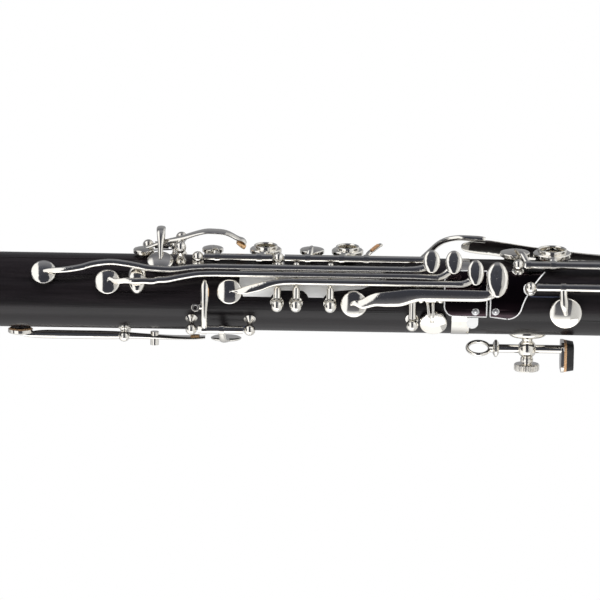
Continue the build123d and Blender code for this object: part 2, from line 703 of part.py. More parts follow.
def trill_levers():
    ends = []
    for spot in TRILL_CUPS[:3]:
        across, height, z, _ = pad_end(TRILL_FACE, spot, 1)
        ends.append(((z, across, height - 0.05, 1.1, 0.9), (z - 4.5, across, height + 0.7, 2.6, 1.7)))
    routes = (
        [
            *ends[0],
            (808.0, 2.0, TRILL_BAR_H - 0.4, 3.0, 2.6),
            (800.5, 3.1, TRILL_BAR_H, BAR, BAR - 0.1),
            (792.5, 5.4, TRILL_BAR_H, BAR, BAR - 0.1),
            (785.0, 6.2, TRILL_BAR_H, BAR, BAR - 0.1),
            (776.0, 5.2, TRILL_BAR_H, BAR, BAR - 0.1),
            (765.0, 3.3, TRILL_BAR_H, BAR, BAR - 0.1),
            (755.0, 2.9, TRILL_BAR_H, BAR, BAR - 0.1),
            (745.0, 4.1, TRILL_BAR_H, BAR, BAR - 0.1),
            *straight_run(735.0, 640.0, LANE_1, 5),
            (633.5, LANE_1 + 0.6, TRILL_BAR_H, BAR + 0.4, 2.4),
            (628.5, LANE_1 + 3.0, TRILL_BAR_H + 0.1, 4.0, 1.9),
            (625.5, LANE_1 + 4.6, TRILL_BAR_H + 0.2, 3.6, 1.4),
        ],
        [
            *ends[1],
            (776.0, -3.2, TRILL_BAR_H - 0.4, 3.0, 2.6),
            (767.0, -3.3, TRILL_BAR_H, BAR, BAR - 0.1),
            (758.0, -2.4, TRILL_BAR_H, BAR, BAR - 0.1),
            (749.0, -0.5, TRILL_BAR_H, BAR, BAR - 0.1),
            (741.0, 0.8, TRILL_BAR_H, BAR, BAR - 0.1),
            *straight_run(732.0, 636.0, LANE_2, 5),
            (629.0, LANE_2 - 0.3, TRILL_BAR_H, BAR, BAR - 0.1),
            (624.0, LANE_2 - 0.1, TRILL_BAR_H, BAR + 0.1, 2.6),
            (620.3, LANE_2 + 2.0, TRILL_BAR_H + 0.1, 3.6, 2.0),
            (617.6, LANE_2 + 5.2, TRILL_BAR_H + 0.2, 4.0, 1.6),
            (615.6, LANE_2 + 7.4, TRILL_BAR_H + 0.2, 3.4, 1.4),
        ],
        [
            *ends[2],
            (718.0, -6.6, TRILL_BAR_H - 1.2, 4.2, 2.2),
            (711.5, -5.0, TRILL_BAR_H - 0.4, 4.4, 2.6),
            (704.5, -3.2, TRILL_BAR_H, 3.4, BAR - 0.1),
            *straight_run(697.0, 617.0, LANE_3, 4),
            (612.0, LANE_3 + 0.3, TRILL_BAR_H, BAR + 0.2, 2.6),
            (608.6, LANE_3 + 2.2, TRILL_BAR_H + 0.1, 3.6, 2.0),
            (605.8, LANE_3 + 4.8, TRILL_BAR_H + 0.2, 3.8, 1.5),
        ],
    )
    buttons = ((627.8, 8.7, 12.2, 8.4), (616.9, 8.4, 12.4, 8.4), (606.2, 3.3, 13.4, 8.2))
    for i, (route, spot, oval) in enumerate(zip(routes, TRILL_CUPS, buttons)):
        z, across, width, length = oval
        pivot = (TRILL_FACE, TRILL_ROD_H, TRILL_PIVOTS[i])
        lane = (LANE_1, LANE_2, LANE_3)[i]
        stem = [facing(TRILL_FACE, lane, h, TRILL_PIVOTS[i]) for h in (TRILL_ROD_H + 0.8, TRILL_BAR_H - 0.4)]
        rocking_key(
            f"trill_key_{i + 1}",
            pivot,
            TRILL_NEAR + NEAR_BALL_R + 0.35,
            LANE_3 - 2.4,
            LANE_1,
            facing_arm(TRILL_FACE, *route),
            cup(*spot),
            tube(*stem, 0.9),
            button(facing(TRILL_FACE, across, TRILL_BAR_H + 0.5, z), outward(TRILL_FACE), width, length, 2.3),
        )
        keep(f"trill_pad_{i + 1}", pad(*spot))

    across, height, z, _ = pad_end(LEVER_4_FACE, TRILL_CUPS[3], 1)
    bar_h = 25.0
    fourth = facing_arm(
        LEVER_4_FACE,
        (z + 1.4, across, height - 0.1, 1.1, 0.9),
        (z - 4.0, across + 0.7, height + 0.7, 4.6, 1.6),
        (z - 10.5, 2.1, 24.3, 6.4, 2.0),
        (z - 17.0, 2.7, 24.8, 7.6, 2.3),
        (z - 23.0, 3.3, bar_h, 8.0, 2.5),
        (z - 28.0, 4.5, bar_h, 6.8, 2.6),
        (z - 33.0, 5.0, bar_h, 6.0, 2.6),
        (623.0, 5.0, bar_h, 5.8, 2.6),
        (612.0, 5.0, bar_h, 5.8, 2.6),
        (604.0, 5.0, bar_h, 5.6, 2.6),
        (599.0, 5.6, 24.9, 4.8, 2.4),
        (596.0, 7.6, 24.2, 4.4, 2.0),
        (594.4, 10.4, 23.4, 4.4, 1.7),
    )
    pivot = (LEVER_4_FACE, LEVER_4_ROD_H, LEVER_4_PIVOT)
    stem = [facing(LEVER_4_FACE, a, h, LEVER_4_PIVOT) for a, h in ((0.4, LEVER_4_ROD_H), (2.6, bar_h - 0.4))]
    rocking_key(
        "trill_key_4",
        pivot,
        -7.6,
        1.0,
        2.2,
        fourth,
        cup(*TRILL_CUPS[3]),
        tube(*stem, 0.9),
        button(facing(TRILL_FACE, -0.3, TRILL_BAR_H + 0.4, 595.6), outward(TRILL_FACE), 18.4, 11.0, 3.1),
    )
    keep("trill_pad_4", pad(*TRILL_CUPS[3]))


# ---- the other keys of the upper joint ------------------------------------------------------------------------------
REGISTER_PIVOT, REGISTER_ROD_H = 778.6, 20.9
THROAT_A_PIVOT, THROAT_A_ROD_H, THROAT_A_FACE = 751.2, 25.4, 85.0


def register_key():
    """The speaker key at the back: the thumb presses its lower end and the pad above lifts."""
    bar = facing_arm(
        BACK,
        (REGISTER_Z + 0.5, 0, CUP_TOP_R - 0.05, 1.4, 0.9),
        (REGISTER_Z - 4, 0, CUP_TOP_R + 0.1, 3.0, 2.4),
        (REGISTER_Z - 8.5, 0, 22.5, 3.6, 3.8),
        (REGISTER_Z - 14, 0, 22.4, 3.9, 4.3),
        (REGISTER_Z - 38, 0, 22.4, 3.9, 4.3),
        (REGISTER_PIVOT + 4, 0, 22.4, 3.9, 4.0),
        (REGISTER_PIVOT - 6, 0, 22.6, 4.0, 3.0),
        (REGISTER_PIVOT - 16, 0, 22.9, 5.0, 2.4),
        (REGISTER_PIVOT - 26, 0, 23.1, 7.4, 1.9),
        (REGISTER_PIVOT - 34, 0, 23.0, 8.6, 1.6),
        (REGISTER_PIVOT - 39.8, 0, 22.7, 6.2, 1.3),
    )
    boss = tube(facing(BACK, 0, 20.2, REGISTER_PIVOT - 14.8), facing(BACK, 0, 26.9, REGISTER_PIVOT - 14.8), 2.1)
    pivot = (BACK, REGISTER_ROD_H, REGISTER_PIVOT)
    rocking_key("register_key", pivot, -6.0, 6.0, 6.0, bar, cup(BACK, REGISTER_Z, REGISTER_CUP), boss)
    keep("register_pad", pad(BACK, REGISTER_Z, REGISTER_CUP))


def thumb_key():
    """The thumb plate at the back, with the long link that reaches round to the front."""
    z_link, z_plate = 738.9, 728.4
    link = wrap_arm(
        (-34, 25.9, z_link, 2.8, 2.6),
        (-25, 26.2, z_link, 2.9, 2.4),
        (-15, 26.1, z_link, 2.8, 2.2),
        (-7, 25.9, z_link, 3.0, 2.3),
        (-1, 25.6, z_link, 3.6, 2.5),
        (6, 25.1, z_link, 3.8, 2.5),
        (13, 24.4, z_link, 3.8, 2.3),
        (19, 23.7, z_link, 3.3, 2.0),
        (23, 23.1, z_link, 2.4, 1.7),
        (25.5, 22.6, z_link, 1.8, 1.4),
    )
    plate_arm = wrap_arm(
        (-34, 25.9, z_plate + 2, 3.4, 2.4),
        (-48, 25.8, z_plate + 1.5, 3.4, 2.0),
        (-62, 24.9, z_plate + 1, 3.8, 1.9),
        (-76, 23.6, z_plate, 4.6, 1.7),
        (-87, 22.9, z_plate, 5.0, 1.5),
    )
    plate = button(polar(BACK, 22.2, z_plate), outward(BACK), 13.5, 15.2, 1.9)
    boss_theta = -5.5
    boss = tube(polar(boss_theta, 24.7, z_link + 4.3), polar(boss_theta, 27.1, z_link + 4.3), 2.0, 1.0)
    ends = [polar(boss_theta, 25.8, z_link + rise) for rise in (0, 2.8)]
    tab = arm(ends, [(2.6, 1.8), (2.6, 1.8)], sideways(boss_theta))
    collars = (z_link, 730.4)
    tube_key("thumb_key", THUMB_HINGE, 719.9, 742.0, collars, link, plate_arm, plate, boss, tab)


def throat_keys():
    """The A key, with its long arch over the first finger, and the G sharp key that it lifts."""
    z = THROAT_A[1]
    arch = facing_arm(
        THROAT_A_FACE,
        (z + 0.4, 0, CUP_TOP_R - 0.05, 1.4, 0.9),
        (z - 4, 0, CUP_TOP_R + 0.5, 3.0, 1.6),
        (761.0, 0, 24.9, 3.8, 2.2),
        (755.0, 0, 26.3, 4.6, 2.6),
        (749.5, 0, 27.9, 5.6, 2.4),
        (744.0, 0, 29.9, 6.6, 2.1),
        (738.0, 0, 31.2, 7.4, 2.0),
        (732.0, 0, 31.1, 7.6, 2.0),
        (726.5, 0, 29.5, 7.2, 2.0),
        (722.0, 0, 27.2, 6.4, 1.9),
        (719.3, 0, 25.2, 5.6, 1.7),
    )
    pivot = (THROAT_A_FACE, THROAT_A_ROD_H, THROAT_A_PIVOT)
    rocking_key("throat_a_key", pivot, -6.0, 6.0, 6.0, arch, cup(*THROAT_A))
    keep("throat_a_pad", pad(*THROAT_A))

    z = THROAT_GS[1]
    strap = wrap_arm(
        (56, CUP_TOP_R - 0.1, z, 1.4, 1.0),
        (60, 24.0, z, 2.2, 1.6),
        (66, 27.0, z, 2.6, 1.7),
        (74, 30.2, z, 3.6, 1.7),
        (84, 32.2, z, 4.4, 1.7),
        (96, 31.8, z, 4.2, 1.8),
        (108, 29.0, z, 3.6, 1.9),
        (116, 26.4, z, 3.2, 2.0),
        (THROAT_GS_HINGE[0], THROAT_GS_HINGE[1] + 0.6, z, 3.0, 2.0),
    )
    tube_key("throat_gs_key", THROAT_GS_HINGE, z - 3.4, z + 3.4, (), strap, cup(*THROAT_GS))
    keep("throat_gs_pad", pad(*THROAT_GS))


def left_hand_keys():
    """Two plates on one rod. They stand open, and the fingers close them."""
    turn = rest_open(LH_HINGE, -OPEN_DEG)
    tube_key(
        "lh_key_1",
        LH_HINGE,
        706.1,
        739.6,
        (712.6, 733.0),
        ring_cup(*LH1_RING, RING_HOLE_R),
        cup(*LH1_CUP),
        wrap_arm((62, 22.6, 711.0, 3.0, 1.8), (67, 23.3, 710.8, 3.4, 1.6), (72.5, 22.9, 710.4, 4.2, 1.1)),
        cup_arm(LH_HINGE, LH1_CUP[0], LH1_CUP[1], z_hinge=733.0),
        turn=turn,
    )
    pads = [pad(*LH1_RING, hole_r=RING_HOLE_R + 0.3), pad(*LH1_CUP)]
    group("lh_pads_1", [p.rotate(*turn) for p in pads])
    fin = wrap_arm(
        (62, 22.6, 659.9, 2.4, 2.0),
        (70, 23.4, 658.7, 2.4, 1.6),
        (78, 24.0, 656.1, 2.6, 1.4),
        (84, 24.6, 654.1, 2.8, 1.3),
        (88, 24.9, 652.5, 2.4, 1.2),
    )
    tube_key(
        "lh_key_2",
        LH_HINGE,
        631.2,
        699.9,
        (659.9, 671.9, 688.6),
        ring_cup(*LH2_RING, RING_HOLE_R),
        cup(*LH2_CUP),
        wrap_arm((62, 22.6, 671.2, 3.0, 1.8), (67, 23.3, 670.8, 3.4, 1.6), (72.5, 22.9, 670.2, 4.2, 1.1)),
        cup_arm(LH_HINGE, LH2_CUP[0], LH2_CUP[1], z_hinge=688.0, rise=1.8),
        fin,
        turn=turn,
    )
    pads = [pad(*LH2_RING, hole_r=RING_HOLE_R + 0.3), pad(*LH2_CUP)]
    group("lh_pads_2", [p.rotate(*turn) for p in pads])


def cs_keys():
    """The C sharp key low on the right, and the little finger's crook for it, over on the left."""
    theta, z, _ = CS_CUP
    prongs = [
        wrap_arm(
            (CS_HINGE[0], CS_HINGE[1], z + start, 1.6, 1.3),
            (-4, 21.8, z + 0.9 * start, 1.5, 1.2),
            (-13, 22.9, z + 0.75 * start, 1.4, 1.2),
            (-22, 23.0, z + 0.55 * start, 1.3, 1.1),
            (theta + 4, CUP_TOP_R - 0.2, z + 0.4 * start, 1.2, 1.0),
        )
        for start in (3.2, 0.5)
    ]
    tube_key("cs_key", CS_HINGE, 625.4, 630.6, (), cup(*CS_CUP), *prongs, rod_r=SCREW_R, tube_r=SLIM_TUBE_R)
    keep("cs_pad", pad(*CS_CUP))

    hinge_theta, hinge_r = LITTLE_HINGE
    stations = (
        (hinge_theta, hinge_r, 634.0, 2.8),
        (142, 24.4, 631.6, 2.8),
        (133, 26.2, 627.6, 2.8),
        (124, 27.7, 624.2, 2.8),
        (115, 28.7, 619.6, 2.8),
        (109.5, 29.2, 613.5, 2.8),
        (108, 28.9, 607.5, 3.1),
        (107.5, 28.4, 603.5, 3.4),
        (107.5, 28.1, 600.8, 2.9),
    )
    crook = arm([polar(*s[:3]) for s in stations], [(s[3] - 0.1, s[3]) for s in stations], outward(125))
    tube_key("little_finger_crook", LITTLE_HINGE, 629.6, 645.2, (634.0,), crook)


# ---- keys of the lower joint ------------------------------------------------------------------------------------------
def right_hand_keys():
    """Three plates on one rod, open at rest, and the side key."""
    turn = rest_open(RH_HINGE, -OPEN_DEG)
    tube_key(
        "rh_key_1",
        RH_HINGE,
        544.1,
        582.1,
        (568.0, 580.2),
        ring_cup(*RH1_RING, RH1_HOLE_R),
        cup(*RH1_CUP),
        wrap_arm((53, 23.8, 568.0, 3.0, 1.8), (60, 24.4, 568.0, 3.6, 1.6), (68.5, 23.4, 568.0, 4.8, 1.0)),
        cup_arm(RH_HINGE, RH1_CUP[0], RH1_CUP[1], z_hinge=580.2, rise=1.6),
        turn=turn,
    )
    pads = [pad(*RH1_RING, hole_r=RH1_HOLE_R + 0.3), pad(*RH1_CUP)]
    group("rh_pads_1", [p.rotate(*turn) for p in pads])
    for number, spot, low, high in ((2, RH2_CUP, 502.8, 537.9), (3, RH3_CUP, 461.8, 496.6)):
        theta, z, cup_r = spot
        crown = turned(
            polar(theta, CUP_TOP_R - 0.6, z),
            outward(theta),
            (0, 0),
            (6.2, 0),
            (6.2, 1.0),
            (5.8, 1.3),
            (0, 1.0),
        )
        tube_key(
            f"rh_key_{number}",
            RH_HINGE,
            low,
            high,
            (z,),
            cup(*spot),
            crown,
            cup_arm(RH_HINGE, theta - 11, z, width=4.4, rise=1.4),
            turn=turn,
        )
        keep(f"rh_pad_{number}", pad(*spot).rotate(*turn))

    theta, z, _ = SIDE_CUP
    spear = wrap_arm(
        (SIDE_HINGE[0], SIDE_HINGE[1], z + 1.6, 3.6, 2.4),
        (14, 24.9, z + 1.5, 3.7, 2.3),
        (6, 24.9, z + 1.2, 3.9, 2.1),
        (-2, 24.2, z + 0.7, 3.0, 1.7),
        (-8, 23.1, z + 0.2, 1.9, 1.3),
        (-11.5, CUP_TOP_R - 0.1, z, 0.9, 0.8),
    )
    touch = wrap_arm(
        (SIDE_HINGE[0], SIDE_HINGE[1], 536.0, 3.2, 2.2),
        (28, 25.4, 536.0, 3.2, 2.0),
        (34, 26.6, 536.6, 3.6, 1.8),
    )
    tube_key(
        "side_key",
        SIDE_HINGE,
        524.7,
        576.1,
        (563.2,),
        cup(*SIDE_CUP),
        spear,
        touch,
        button(polar(36, 26.6, 537.4), outward(36), 6.6, 14.0, 2.0),
    )
    keep("side_pad", pad(*SIDE_CUP))


def low_keys():
    """The little fingers' keys: the left one rocks across the body, the others turn on rods that run down it."""
    face, pivot_z, rod_h = LITTLE_LEVER_PIVOT
    z = LITTLE_CUP[1]
    stations = (
        (face, CUP_TOP_R - 0.05, z - 0.5, 1.4, 0.9),
        (face, CUP_TOP_R + 0.9, z + 7, 3.4, 1.9),
        (face, 25.4, 456.0, 3.8, 2.6),
        (face, 25.9, 480.0, 3.8, 2.7),
        (face, 26.2, pivot_z, 4.0, 2.7),
        (face, 26.0, 520.0, 4.0, 2.5),
        (141, 25.6, 536.0, 5.0, 2.2),
        (140, 25.4, 548.0, 6.4, 1.9),
        (138, 25.6, 562.0, 8.0, 1.8),
        (135, 26.1, 577.0, 9.4, 1.8),
        (131, 26.8, 590.0, 10.0, 1.8),
        (128.1, 27.4, 600.0, 10.0, 1.8),
        (127.7, 27.5, 606.5, 8.6, 1.7),
        (127.7, 27.5, 610.5, 5.6, 1.5),
        (127.7, 27.5, 612.4, 2.4, 1.0),
    )
    lever = arm([polar(*s[:3]) for s in stations], [s[3:] for s in stations], sideways(146))
    rocking_key("little_finger_lever", (face, rod_h, pivot_z), -6.0, 6.0, 6.0, lever, cup(*LITTLE_CUP))
    keep("little_finger_pad", pad(*LITTLE_CUP))

    theta, z, _ = LOW_F_CUP
    reach = wrap_arm(
        (LOW_F_HINGE[0], LOW_F_HINGE[1], 446.0, 3.6, 2.2),
        (26, 25.4, 446.0, 3.8, 2.0),
        (18, 25.8, 446.0, 4.6, 1.8),
    )
    tube_key(
        "low_f_key",
        LOW_F_HINGE,
        365.7,
        452.3,
        (z, 446.0),
        cup(*LOW_F_CUP),
        cup_arm(LOW_F_HINGE, theta, z, width=4.4, rise=2.4),
        reach,
        button(polar(16, 25.6, 446.0), outward(16), 10.0, 17.0, 2.4),
    )
    keep("low_f_pad", pad(*LOW_F_CUP))

    theta, z, _ = LOW_E_CUP
    reach = wrap_arm(
        (LOW_E_HINGE[0], LOW_E_HINGE[1], 396.0, 3.6, 2.2),
        (140, 25.8, 396.0, 3.8, 2.0),
        (150, 26.2, 397.0, 4.6, 1.8),
    )
    tube_key(
        "low_e_key",
        LOW_E_HINGE,
        291.7,
        402.3,
        (z, 396.0),
        cup(*LOW_E_CUP),
        cup_arm(LOW_E_HINGE, theta, z, width=4.6, rise=2.2),
        reach,
        button(polar(152, 26.0, 398.0), outward(152), 10.0, 17.0, 2.4),
    )
    keep("low_e_pad", pad(*LOW_E_CUP))


# ---- posts, rods, plates and small fittings ---------------------------------------------------------------------------
def posts_and_rods():
    """Every post, and the steel rod or screw that each pair carries."""
    axial = (
        (LH_HINGE, (742.7, 703.0, 628.0)),
        (THUMB_HINGE, (745.3, 716.6)),
        (THROAT_GS_HINGE, (767.8, 754.4)),
        (LITTLE_HINGE, (648.4, 626.4)),
        (RH_HINGE, (585.2, 541.0, 499.7, 458.7)),
        (SIDE_HINGE, (579.2, 521.6)),
        (LOW_F_HINGE, (455.4, 362.6)),
        (LOW_E_HINGE, (405.4, 288.6)),
    )
    post_shapes, rod_shapes = [], []
    for hinge, heights in axial:
        post_shapes += [post(*hinge, z) for z in heights]
        rod_shapes.append(tube(polar(*hinge, min(heights) - 1.5), polar(*hinge, max(heights) + 1.5), ROD_R))
    small_ball_r = 1.8
    cs_posts = (632.7, 623.3)
    post_shapes += [post(*CS_HINGE, z, ball_r=small_ball_r) for z in cs_posts]
    rod_shapes.append(tube(polar(*CS_HINGE, min(cs_posts) - 1), polar(*CS_HINGE, max(cs_posts) + 1), SCREW_R))

    little_face, little_z, little_h = LITTLE_LEVER_PIVOT
    across = [(TRILL_FACE, TRILL_ROD_H, z, TRILL_NEAR, 7.4, NEAR_BALL_R, 1.6) for z in TRILL_PIVOTS]
    across += [
        (LEVER_4_FACE, LEVER_4_ROD_H, LEVER_4_PIVOT, -10.9, 4.4, 3.0, 1.8),
        (BACK, REGISTER_ROD_H, REGISTER_PIVOT, -9.2, 9.2, BALL_R, BALL_R),
        (THROAT_A_FACE, THROAT_A_ROD_H, THROAT_A_PIVOT, -9.2, 9.2, BALL_R, BALL_R),
        (little_face, little_h, little_z, -9.2, 9.2, BALL_R, BALL_R),
    ]
    for theta, rod_h, z, near, far, near_r, far_r in across:
        for a, ball_r in ((near, near_r), (far, far_r)):
            post_shapes.append(post(*to_polar(theta, a, rod_h), z, ball_r=ball_r))
        rod_shapes.append(tube(facing(theta, near - 1.2, rod_h, z), facing(theta, far + 1.0, rod_h, z), SCREW_R))
    guide = button(facing(TRILL_FACE, 0, 16.9, 772.2), outward(TRILL_FACE), 15.4, 9.4, 4.9)
    with BuildPart() as seat:
        add(guide)
        add(tube(UP * 760, UP * 785, BODY_R), mode=Mode.SUBTRACT)
    post_shapes.append(seat.part)
    group("posts", post_shapes)
    group("hinge_rods", rod_shapes)


def shell_piece(outline, face, inner_r, thick, holes):
    """A plate bent round the body. Its outline is drawn flat as (across, z) points, looking straight at it; the
    holes (theta, z, radius) clear the posts and screws that pass through."""
    plane = Plane(origin=(0, 0, 0), x_dir=sideways(face), z_dir=-outward(face))
    if plane.y_dir.Z < 0:
        plane = Plane(origin=(0, 0, 0), x_dir=sideways(face), z_dir=outward(face))
    depth = 40.0 * plane.z_dir.dot(outward(face))
    with BuildPart() as piece:
        with BuildSketch(plane):
            with BuildLine():
                here = outline[0]
                for step in outline[1:]:
                    if len(step) == 4:
                        ThreePointArc(here, step[:2], step[2:])
                        here = step[2:]
                    else:
                        Line(here, step)
                        here = step
            make_face()
        extrude(amount=depth)
        low = min(step[-1] for step in outline) - 5
        high = max(step[-1] for step in outline) + 5
        add(tube(UP * low, UP * high, inner_r + thick, inner_r), mode=Mode.INTERSECT)
        for theta, z, hole_r in holes:
            add(tube(polar(theta, 5, z), polar(theta, 30, z), hole_r), mode=Mode.SUBTRACT)
    return piece.part


def plates():
    """The saddle under the trill levers, and the guide plates that line the joints up."""
    face = 11.0
    far_theta, _ = to_polar(TRILL_FACE, 7.4, TRILL_ROD_H)
    near_theta, _ = to_polar(TRILL_FACE, TRILL_NEAR, TRILL_ROD_H)
    feet = [(far_theta, z, 1.08 * 1.6 + 0.03) for z in TRILL_PIVOTS]
    feet += [(near_theta, z, 1.08 * NEAR_BALL_R + 0.03) for z in TRILL_PIVOTS]
    saddle_outline = (
        (-1.9, 720.0),
        (-1.9, 706.5),
        (-0.2, 705.2, 1.4, 703.5),
        (1.4, 691.0),
        (0.0, 689.2, -1.9, 688.0),
        (-1.9, 680.6),
        (-0.4, 679.4, 1.2, 678.0),
        (2.6, 662.0),
        (7.5, 650.0),
        (10.0, 652.0),
        (10.0, 722.0),
        (2.0, 722.0),
        (-1.9, 720.0),
    )
    saddle = shell_piece(saddle_outline, face, BODY_R, 0.5, feet)

    inner_r, thick, shank_r = BODY_R + 0.25, 1.1, 0.9
    screws = [(face + degrees(atan2(across, 17.3)), z) for across, z in ((-7.1, 605.9), (-6.9, 596.0))]
    holes = [(theta, z, shank_r) for theta, z in screws]
    holes += [(SIDE_HINGE[0], 579.2, 1.08 * BALL_R + 0.03), (RH_HINGE[0], 585.2, 1.08 * BALL_R + 0.03)]
    upper = (
        (-4.5, 621.2),
        (-8.6, 619.6, -9.9, 616.0),
        (-10.1, 600.4),
        (12.5, 600.4),
        (12.5, 617.0),
        (8.0, 621.2),
        (-4.5, 621.2),
    )
    lower = (
        (-10.0, 598.6),
        (-10.9, 591.0),
        (-10.0, 586.5, -6.4, 583.5),
        (-1.0, 581.5, 3.6, 578.8),
        (9.0, 575.0, 12.5, 572.0),
        (12.5, 598.6),
        (-10.0, 598.6),
    )
    lobe = ((-10.6, 604.4), (-14.0, 604.4), (-15.9, 607.2, -14.0, 610.0), (-10.6, 610.0), (-10.6, 604.4))
    guides = [shell_piece(outline, face, inner_r, thick, holes) for outline in (upper, lower, lobe)]
    group("body_plates", [saddle, *guides])
    head = ((0, -2.2), (shank_r, -2.2), (shank_r, 0), (1.9, 0), (1.9, 0.35), (1.5, 0.7), (0, 0.8))
    group(
        "guide_screws",
        [turned(polar(theta, inner_r + thick, z), outward(theta), *head) for theta, z in screws],
    )


def needle_springs():
    """Blued needles: each leaves a post near its foot and lies along the key's tube."""
    runs = (
        (-42.5, 716.6, 736.0, 20.6),
        (118.0, 767.8, 756.0, 21.2),
        (58.0, 585.2, 562.0, 19.9),
        (12.0, 579.2, 562.0, 20.6),
        (28.0, 455.4, 430.0, 20.4),
        (134.0, 405.4, 380.0, 20.6),
    )
    wires = [tube(polar(theta, r, start), polar(theta, r + 0.6, end), 0.3) for theta, start, end, r in runs]
    group("needle_springs", wires)


def main():
    os.makedirs("parts", exist_ok=True)
    wooden_joints()
    neck()
    bell()
    floor_peg()
    thumb_rest()
    trill_levers()
    register_key()
    thumb_key()
    throat_keys()
    left_hand_keys()
    cs_keys()
    right_hand_keys()
    low_keys()
    posts_and_rods()
    plates()
    needle_springs()


main()
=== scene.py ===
"""Looks for the bass clarinet: materials, pads, corks, screws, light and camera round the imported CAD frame."""

import json
import math

import bmesh
import bpy
from mathutils import Matrix, Vector


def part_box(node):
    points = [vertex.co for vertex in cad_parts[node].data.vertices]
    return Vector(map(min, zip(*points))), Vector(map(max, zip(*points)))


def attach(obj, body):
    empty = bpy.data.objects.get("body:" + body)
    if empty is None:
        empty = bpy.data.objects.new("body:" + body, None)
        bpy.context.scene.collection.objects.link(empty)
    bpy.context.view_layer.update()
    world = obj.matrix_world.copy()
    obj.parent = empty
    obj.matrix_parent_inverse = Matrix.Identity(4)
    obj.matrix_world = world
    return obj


MM = 0.001
UP = Vector((0, 0, 1))
FACE_ANGLE = 11.0  # the direction, round the body, that the guide plates and the camera face

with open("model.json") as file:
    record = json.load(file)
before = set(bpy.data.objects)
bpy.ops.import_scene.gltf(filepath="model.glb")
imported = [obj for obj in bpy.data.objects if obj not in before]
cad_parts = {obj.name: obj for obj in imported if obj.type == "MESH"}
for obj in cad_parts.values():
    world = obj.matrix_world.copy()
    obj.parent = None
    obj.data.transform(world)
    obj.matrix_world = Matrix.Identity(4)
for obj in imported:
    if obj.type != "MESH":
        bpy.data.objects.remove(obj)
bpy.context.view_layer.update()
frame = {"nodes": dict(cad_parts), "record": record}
nodes = frame["nodes"]


# ---- places -------------------------------------------------------------------------------------------------
def outward(theta):
    return Vector((-math.cos(math.radians(theta)), -math.sin(math.radians(theta)), 0))


def sideways(theta):
    return Vector((math.sin(math.radians(theta)), -math.cos(math.radians(theta)), 0))


def polar(theta, r, z):
    """A point at angle theta round the body, r and z in millimetres."""
    return (outward(theta) * r + UP * z) * MM


def facing(theta, across, height, z):
    return (outward(theta) * height + sideways(theta) * across + UP * z) * MM


# ---- node graph helpers ---------------------------------------------------------------------------------------
class Shader:
    """A material and short ways to add nodes to it."""

    def __init__(self, name):
        self.material = bpy.data.materials.new(name)
        self.material.use_nodes = True
        self.tree = self.material.node_tree
        self.bsdf = self.tree.nodes["Principled BSDF"]
        self.coords = self.tree.nodes.new("ShaderNodeTexCoord").outputs["Object"]

    def link(self, a, b):
        self.tree.links.new(a, b)

    def set(self, **values):
        for name, value in values.items():
            self.bsdf.inputs[name.replace("_", " ")].default_value = value
        return self

    def scaled(self, x, y, z):
        node = self.tree.nodes.new("ShaderNodeMapping")
        node.inputs["Scale"].default_value = (x, y, z)
        self.link(self.coords, node.inputs["Vector"])
        return node.outputs["Vector"]

    def noise(self, vector, scale, detail=4.0, roughness=0.55, distortion=0.0):
        node = self.tree.nodes.new("ShaderNodeTexNoise")
        node.inputs["Scale"].default_value = scale
        node.inputs["Detail"].default_value = detail
        node.inputs["Roughness"].default_value = roughness
        node.inputs["Distortion"].default_value = distortion
        self.link(vector, node.inputs["Vector"])
        return node.outputs["Fac"]

    def voronoi(self, vector, scale, feature="F1"):
        node = self.tree.nodes.new("ShaderNodeTexVoronoi")
        node.feature = feature
        node.inputs["Scale"].default_value = scale
        self.link(vector, node.inputs["Vector"])
        return node.outputs["Distance"]

    def ramp(self, fac, *stops):
        node = self.tree.nodes.new("ShaderNodeValToRGB")
        elements = node.color_ramp.elements
        while len(elements) < len(stops):
            elements.new(0.5)
        for element, (place, colour) in zip(elements, stops):
            element.position = place
            element.color = (*colour, 1) if isinstance(colour, tuple) else (colour, colour, colour, 1)
        self.link(fac, node.inputs["Fac"])
        return node.outputs["Color"]

    def mix(self, fac, a, b, blend="MIX"):
        node = self.tree.nodes.new("ShaderNodeMix")
        node.data_type = "RGBA"
        node.blend_type = blend
        for socket, value in ((node.inputs["Factor"], fac), (node.inputs["A"], a), (node.inputs["B"], b)):
            if isinstance(value, (int, float)):
                socket.default_value = value if socket.name == "Factor" else (value, value, value, 1)
            elif isinstance(value, tuple):
                socket.default_value = (*value, 1)
            else:
                self.link(value, socket)
        return node.outputs["Result"]

    def colour(self, value):
        self.link(value, self.bsdf.inputs["Base Color"])

    def roughness(self, fac, low, high):
        node = self.tree.nodes.new("ShaderNodeMapRange")
        node.inputs["To Min"].default_value = low
        node.inputs["To Max"].default_value = high
        self.link(fac, node.inputs["Value"])
        self.link(node.outputs["Result"], self.bsdf.inputs["Roughness"])

    def bump(self, height, distance, strength=1.0):
        node = self.tree.nodes.new("ShaderNodeBump")
        node.inputs["Distance"].default_value = distance
        node.inputs["Strength"].default_value = strength
        self.link(height, node.inputs["Height"])
        if self.bsdf.inputs["Normal"].is_linked:
            self.link(self.bsdf.inputs["Normal"].links[0].from_socket, node.inputs["Normal"])
        self.link(node.outputs["Normal"], self.bsdf.inputs["Normal"])


